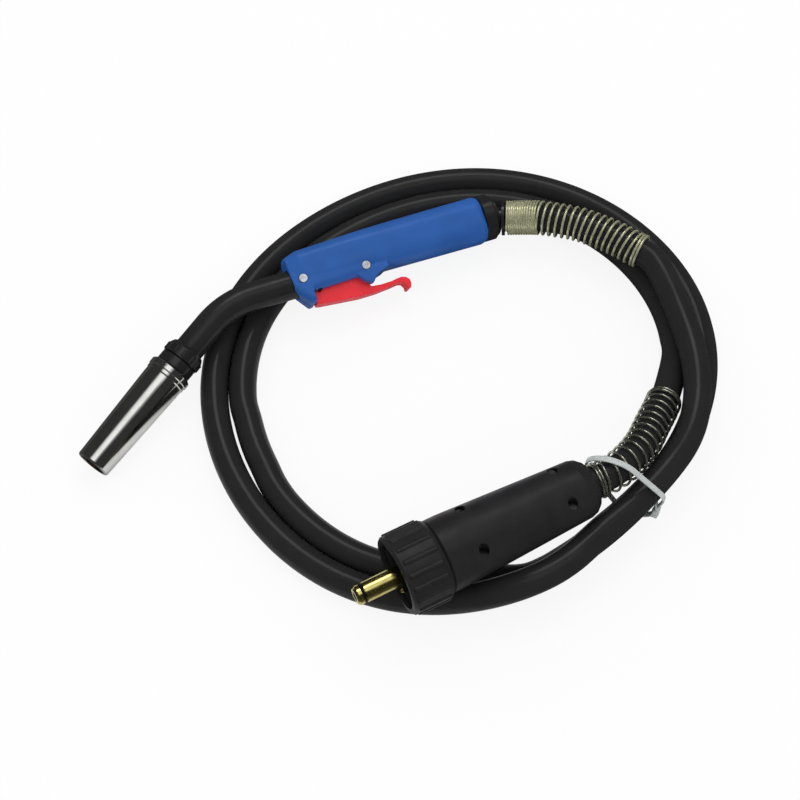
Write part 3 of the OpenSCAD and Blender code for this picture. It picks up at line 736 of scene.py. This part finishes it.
class TORCH_OT_tie(bpy.types.Operator):
    """Threads the cable tie round the loops and the plug's cable"""

    bl_idname = "torch.thread_tie"
    bl_label = "Thread cable tie"

    def execute(self, context):
        spots = tie_spots(context.scene.torch_cable)
        bm = bmesh.new()
        for x, y, r in [TIE_PLUG_END] + spots:
            ring = bmesh.ops.create_circle(bm, segments=48, radius=r + STRAP_GAP)["verts"]
            slanted = Matrix.Translation((x, y, 0)) @ Matrix.Diagonal((TIE_SLANT, 1, 1, 1))
            bmesh.ops.transform(bm, matrix=slanted, verts=ring)
        cloud = [Vector(v.co.xy) for v in bm.verts]
        bm.clear()
        outline = [cloud[i] for i in geometry.convex_hull_2d(cloud)]
        loop = [bm.verts.new((p.x, max(p.y, STRAP_LOW), -STRAP_WIDTH / 2)) for p in outline]
        edges = [bm.edges.new(pair) for pair in zip(loop, loop[1:] + loop[:1])]
        wall = bmesh.ops.extrude_edge_only(bm, edges=edges)["geom"]
        far_side = [v for v in wall if isinstance(v, bmesh.types.BMVert)]
        bmesh.ops.translate(bm, vec=(0, 0, STRAP_WIDTH), verts=far_side)
        bmesh.ops.recalc_face_normals(bm, faces=bm.faces)
        bmesh.ops.solidify(bm, geom=bm.faces[:], thickness=-STRAP_THICKNESS)
        self.round_edges(bm, bm.edges, STRAP_ROUNDING, 2)
        far, high, radius = spots[1]
        side = far + TIE_SLANT * radius
        for size, (out, up), lean, rounding in TIE_BLOCKS:
            self.add_block(bm, size, (side + out, high + up, 0), lean, rounding)
        turned = Matrix.Rotation(math.radians(TIE_HEADING), 4, "Z")
        upright = Matrix.Rotation(math.radians(90), 4, "X")
        place = Matrix.Translation((TIE_AT.x, TIE_AT.y, 0)) @ turned @ upright
        tie = mesh_from("tie_band", bm, place, smooth_angle=35)
        dress(tie, tie_finish())
        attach(tie, "cable_set")
        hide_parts("cable_tie")
        return {"FINISHED"}

    def round_edges(self, bm, edges, width, segments):
        """Rounds every edge that isn't nearly flat."""
        sharp = [e for e in edges if len(e.link_faces) == 2 and e.calc_face_angle(0) > 1.0]
        bmesh.ops.bevel(
            bm, geom=sharp, offset=width, offset_type="OFFSET", segments=segments,
            affect="EDGES", profile=0.5, material=-1,
        )

    def add_block(self, bm, size, centre, lean, rounding):
        """A rounded block beside the strap."""
        block = bmesh.new()
        bmesh.ops.create_cube(block, size=1.0)
        bmesh.ops.scale(block, vec=size, verts=block.verts)
        self.round_edges(block, block.edges, rounding, 3)
        tilt = Matrix.Rotation(math.radians(lean), 3, "Z")
        bmesh.ops.rotate(block, cent=(0, 0, 0), matrix=tilt, verts=block.verts)
        bmesh.ops.translate(block, vec=centre, verts=block.verts)
        held = bpy.data.meshes.new("tie_block")
        block.to_mesh(held)
        block.free()
        bm.from_mesh(held)
        bpy.data.meshes.remove(held)


class TORCH_OT_metal(bpy.types.Operator):
    """Gives the turned metal pieces and screws their finish"""

    bl_idname = "torch.finish_metal"
    bl_label = "Finish metal"

    def execute(self, context):
        corner = [c * MM for c in BEND_CORNER]
        plug = [c * MM for c in PLUG_FACE]
        chrome = chrome_finish(corner, NOZZLE_DIR)
        neck_brass = brass_finish("turned_brass", (0.66, 0.53, 0.20), corner, NOZZLE_DIR)
        plug_brass = brass_finish("plug_brass", (0.70, 0.60, 0.21), plug, (1, 0, 0))
        copper = brass_finish("tip_copper", (0.72, 0.36, 0.20), corner, NOZZLE_DIR)
        zinc = steel_finish("zinc_screw", (0.82, 0.84, 0.88), 0.22)
        oxide = steel_finish("black_oxide", (0.035, 0.035, 0.036), 0.4)
        pieces = {
            chrome: ("gas_nozzle",),
            neck_brass: ("neck_tube", "power_block", "gas_diffuser", "tip_holder"),
            plug_brass: ("centre_pin", "contact_pin_left", "contact_pin_right"),
            copper: ("contact_tip",),
            zinc: ("handle_screws",),
            oxide: ("trigger_pin", "housing_screws"),
        }
        for finish, names in pieces.items():
            for name in names:
                dress(NODES[name], finish)
        return {"FINISHED"}


class TORCH_OT_black(bpy.types.Operator):
    """Gives the black mouldings and small inner pieces their finish"""

    bl_idname = "torch.finish_black"
    bl_label = "Finish black pieces"

    def execute(self, context):
        housing = black_finish("housing_black", 0.0215, 0.40, 0.02)
        fitting = black_finish("fitting_black", 0.0185, 0.22, 0.015, 0.25, gloss=0.4)
        pieces = {
            housing: ("plug_housing_top", "plug_housing_bottom", "lock_nut", "plug_insulator", "plug_gland"),
            fitting: ("swivel_collar", "cable_support", "neck_nut", "nozzle_insulator"),
            sleeve_finish(): ("neck_sleeve",),
            black_finish("switch_case", 0.02, 0.4, 0.01, 0.2): ("switch_body",),
            moulded_finish("plunger_cap", (0.80, 0.78, 0.70), 0.35): ("switch_plunger",),
            moulded_finish("lead_cover", (0.20, 0.03, 0.025), 0.45): ("switch_leads",),
            black_finish("core_jacket", 0.014, 0.4, 0.02, 0.2): ("inner_cable",),
            black_finish("seal_rubber", 0.006, 0.5, 0.01, 0.1): ("pin_seal",),
        }
        for finish, names in pieces.items():
            for name in names:
                dress(NODES[name], finish)
        return {"FINISHED"}


class TORCH_OT_stage(bpy.types.Operator):
    """Sets the floor, the lamps, the world and the camera"""

    bl_idname = "torch.set_stage"
    bl_label = "Set stage"

    def execute(self, context):
        settings = context.scene.torch_stage
        self.floor()
        self.world(context.scene, settings)
        self.lamp(settings)
        self.camera(context.scene, settings)
        context.scene.view_settings.view_transform = "Standard"
        return {"FINISHED"}

    def floor(self):
        bm = bmesh.new()
        bmesh.ops.create_grid(bm, x_segments=1, y_segments=1, size=TABLE_HALF)
        bmesh.ops.translate(bm, vec=TABLE_AT, verts=bm.verts)
        obj = mesh_from("white_table", bm)
        obj.data.materials.append(self.table_material())

    def table_material(self):
        """White with soft shadows to the camera; mirrors see it white only near the coil, and further off a
        painted dark reflection.
        """
        material = bpy.data.materials.new("white_table")
        material.use_nodes = True
        graph = Graph(material.node_tree)
        board = graph.tree.nodes["Principled BSDF"]
        board.inputs["Base Color"].default_value = (0.93, 0.93, 0.93, 1)
        board.inputs["Roughness"].default_value = 0.8
        board.inputs["Specular IOR Level"].default_value = 0.1
        glow = graph.add("ShaderNodeEmission", {"Color": WHITE, "Strength": GLOW_STRENGTH})
        path = graph.add("ShaderNodeLightPath")
        share = graph.add("ShaderNodeMath", {1: TABLE_GLOW}, operation="MULTIPLY")
        graph.link(path.outputs["Is Camera Ray"], share.inputs[0])
        lit = graph.mix(share.outputs[0], board, glow)
        place = graph.add("ShaderNodeTexCoord")
        reach = graph.add("ShaderNodeVectorMath", {1: MIRRORED_TABLE * MM}, operation="DISTANCE")
        graph.link(place.outputs["Object"], reach.inputs[0])
        near, far = (r * MM for r in MIRRORED_REACH)
        edge = {"From Min": near, "From Max": far, "To Max": PAINTED_REFLECTION_SHADE}
        fade = graph.add("ShaderNodeMapRange", edge, interpolation_type="SMOOTHSTEP")
        graph.link(reach.outputs["Value"], fade.inputs["Value"])
        reflection_shade_share = graph.add("ShaderNodeMath", operation="MULTIPLY")
        graph.link(fade.outputs[0], reflection_shade_share.inputs[0])
        graph.link(path.outputs["Is Glossy Ray"], reflection_shade_share.inputs[1])
        # Painted reflection: the dark that mirrors see on the table away from the coil.
        dark = graph.add("ShaderNodeBsdfDiffuse", {"Color": (0.02, 0.02, 0.02, 1)})
        seen = graph.mix(reflection_shade_share.outputs[0], lit, dark)
        graph.link(seen.outputs[0], graph.tree.nodes["Material Output"].inputs["Surface"])
        return material

    def world(self, scene, settings):
        """Even light on every surface, a dark studio with softboxes for mirrors, and white for the camera."""
        world = bpy.data.worlds.new("studio")
        scene.world = world
        world.use_nodes = True
        graph = Graph(world.node_tree)
        even = graph.tree.nodes["Background"]
        even.inputs["Color"].default_value = WHITE
        even.inputs["Strength"].default_value = settings.fill
        backdrop = graph.add("ShaderNodeBackground", {"Color": WHITE, "Strength": 1.0})
        room = graph.add("ShaderNodeBackground", {"Strength": 1.0})
        graph.link(self.softboxes(graph), room.inputs["Color"])
        path = graph.add("ShaderNodeLightPath")
        lit = graph.mix(path.outputs["Is Glossy Ray"], even, room)
        seen = graph.mix(path.outputs["Is Camera Ray"], lit, backdrop)
        graph.link(seen.outputs[0], graph.tree.nodes["World Output"].inputs["Surface"])
        world.cycles.sampling_method = "NONE"

    def softboxes(self, graph):
        """Brightness of the dark studio with its softboxes, in each direction."""
        place = graph.add("ShaderNodeTexCoord")
        total = None
        for aim, inner, outer, strength in SOFTBOXES:
            facing = graph.add("ShaderNodeVectorMath", {1: Vector(aim).normalized()}, operation="DOT_PRODUCT")
            graph.link(place.outputs["Generated"], facing.inputs[0])
            values = {
                "From Min": math.cos(math.radians(outer)),
                "From Max": math.cos(math.radians(inner)),
                "To Min": STUDIO_DARK if total is None else 0.0,
                "To Max": strength,
            }
            edge = graph.add("ShaderNodeMapRange", values, interpolation_type="SMOOTHSTEP")
            graph.link(facing.outputs["Value"], edge.inputs["Value"])
            if total is None:
                total = edge.outputs[0]
                continue
            both = graph.add("ShaderNodeMath")
            graph.link(total, both.inputs[0])
            graph.link(edge.outputs[0], both.inputs[1])
            total = both.outputs[0]
        return total

    def lamp(self, settings):
        """One square lamp overhead, which gives the soft shadow and shows in no mirror."""
        lamp = bpy.data.lights.new("overhead", "AREA")
        lamp.shape = "RECTANGLE"
        lamp.size = LAMP_SIZE * MM
        lamp.size_y = LAMP_SIZE * MM
        lamp.energy = settings.lamp
        obj = add_object("overhead", lamp)
        obj.location = LAMP_AT * MM
        obj.visible_glossy = False
        obj.rotation_euler = ((LAMP_AIM - LAMP_AT) * MM).to_track_quat("-Z", "Y").to_euler()

    def camera(self, scene, settings):
        data = bpy.data.cameras.new("camera")
        data.lens = settings.lens
        data.sensor_width = 36.0
        data.sensor_fit = "HORIZONTAL"
        data.clip_start = 0.01
        data.clip_end = 20.0
        obj = add_object("camera", data)
        obj.location = CAMERA_AT * MM
        obj.rotation_euler = (CAMERA_AIM * MM - obj.location).to_track_quat("-Z", "Y").to_euler()
        scene.camera = obj


class TORCH_PT_panel(bpy.types.Panel):
    bl_label = "Welding torch"
    bl_idname = "TORCH_PT_panel"
    bl_space_type = "VIEW_3D"
    bl_region_type = "UI"
    bl_category = "Torch"

    def draw(self, context):
        scene = context.scene
        groups = (
            (scene.torch_cable, ("diameter", "loop_step", "opening", "jacket")),
            (scene.torch_springs, ("wire", "front", "rear")),
            (scene.torch_handle, ("shell", "lever", "skin")),
            (scene.torch_stage, ("fill", "lamp", "lens", "sides")),
        )
        for group, names in groups:
            box = self.layout.box()
            for name in names:
                box.prop(group, name)
        for cls in OPERATORS:
            self.layout.operator(cls.bl_idname)


SETTINGS = {
    "torch_cable": TORCH_PG_cable,
    "torch_springs": TORCH_PG_springs,
    "torch_handle": TORCH_PG_handle,
    "torch_stage": TORCH_PG_stage,
}
OPERATORS = (
    TORCH_OT_cable,
    TORCH_OT_springs,
    TORCH_OT_handle,
    TORCH_OT_trigger,
    TORCH_OT_tie,
    TORCH_OT_metal,
    TORCH_OT_black,
    TORCH_OT_stage,
)


def register():
    for name, cls in SETTINGS.items():
        bpy.utils.register_class(cls)
        setattr(bpy.types.Scene, name, PointerProperty(type=cls))
    for cls in OPERATORS:
        bpy.utils.register_class(cls)
    bpy.utils.register_class(TORCH_PT_panel)


def unregister():
    bpy.utils.unregister_class(TORCH_PT_panel)
    for cls in reversed(OPERATORS):
        bpy.utils.unregister_class(cls)
    for name, cls in SETTINGS.items():
        delattr(bpy.types.Scene, name)
        bpy.utils.unregister_class(cls)


def main():
    register()
    bpy.ops.torch.lay_cable()
    bpy.ops.torch.wind_springs()
    bpy.ops.torch.mould_handle()
    bpy.ops.torch.mould_trigger()
    bpy.ops.torch.thread_tie()
    bpy.ops.torch.finish_metal()
    bpy.ops.torch.finish_black()
    bpy.ops.torch.set_stage()


if __name__ == "__main__":
    main()
